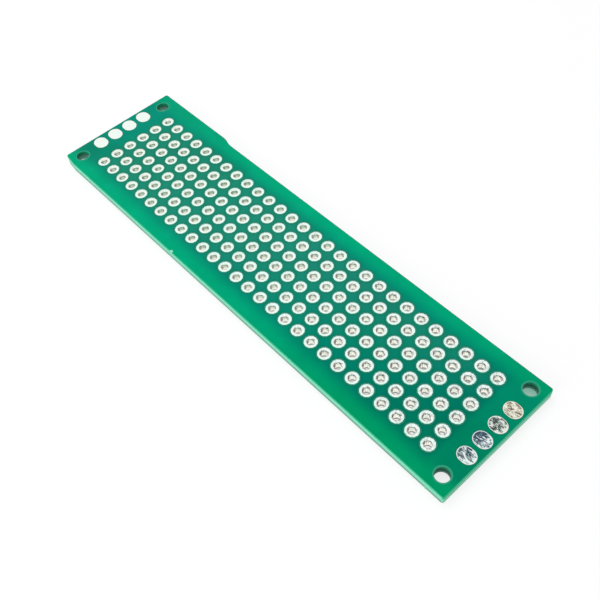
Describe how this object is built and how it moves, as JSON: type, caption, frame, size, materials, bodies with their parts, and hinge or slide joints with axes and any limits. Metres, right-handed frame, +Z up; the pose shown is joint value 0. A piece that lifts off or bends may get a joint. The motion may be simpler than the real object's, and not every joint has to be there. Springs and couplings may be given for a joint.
{
  "type": "prototype board",
  "caption": "Double-sided drilled circuit board strip for hand-soldered prototypes, with a grid of plated holes, oval solder pads across both ends and a screw hole in each corner.",
  "frame": {"origin": "centre of the hole grid, at the level of the lower pads that the board lies on", "axes": "+X along the board's length towards the right end, +Y across it towards the long edge with the proud stretch, +Z up through the holes"},
  "size_m": [0.08, 0.0206, 0.0016],
  "materials": {
    "laminate": "woven glass and epoxy laminate, cut edge",
    "solder_mask": "glossy green printed film",
    "tinned_copper": "bright hot-levelled tin over copper"
  },
  "bodies": {
    "root": {"substrate": "laminate", "solder_mask_top": "solder_mask", "solder_mask_bottom": "solder_mask", "plated_hole_row_01": "tinned_copper", "plated_hole_row_02": "tinned_copper", "plated_hole_row_03": "tinned_copper", "plated_hole_row_04": "tinned_copper", "plated_hole_row_05": "tinned_copper", "plated_hole_row_06": "tinned_copper", "plated_hole_row_07": "tinned_copper", "plated_hole_row_08": "tinned_copper", "plated_hole_row_09": "tinned_copper", "plated_hole_row_10": "tinned_copper", "plated_hole_row_11": "tinned_copper", "plated_hole_row_12": "tinned_copper", "plated_hole_row_13": "tinned_copper", "plated_hole_row_14": "tinned_copper", "plated_hole_row_15": "tinned_copper", "plated_hole_row_16": "tinned_copper", "plated_hole_row_17": "tinned_copper", "plated_hole_row_18": "tinned_copper", "plated_hole_row_19": "tinned_copper", "plated_hole_row_20": "tinned_copper", "plated_hole_row_21": "tinned_copper", "plated_hole_row_22": "tinned_copper", "plated_hole_row_23": "tinned_copper", "plated_hole_row_24": "tinned_copper", "plated_hole_row_25": "tinned_copper", "plated_hole_row_26": "tinned_copper", "plated_hole_row_27": "tinned_copper", "plated_hole_row_28": "tinned_copper", "left_end_pad_top_1": "tinned_copper", "left_end_pad_top_2": "tinned_copper", "left_end_pad_top_3": "tinned_copper", "left_end_pad_top_4": "tinned_copper", "left_end_pad_bottom_1": "tinned_copper", "left_end_pad_bottom_2": "tinned_copper", "left_end_pad_bottom_3": "tinned_copper", "left_end_pad_bottom_4": "tinned_copper", "right_end_pad_top_1": "tinned_copper", "right_end_pad_top_2": "tinned_copper", "right_end_pad_top_3": "tinned_copper", "right_end_pad_top_4": "tinned_copper", "right_end_pad_bottom_1": "tinned_copper", "right_end_pad_bottom_2": "tinned_copper", "right_end_pad_bottom_3": "tinned_copper", "right_end_pad_bottom_4": "tinned_copper"}
  },
  "joints": []
}
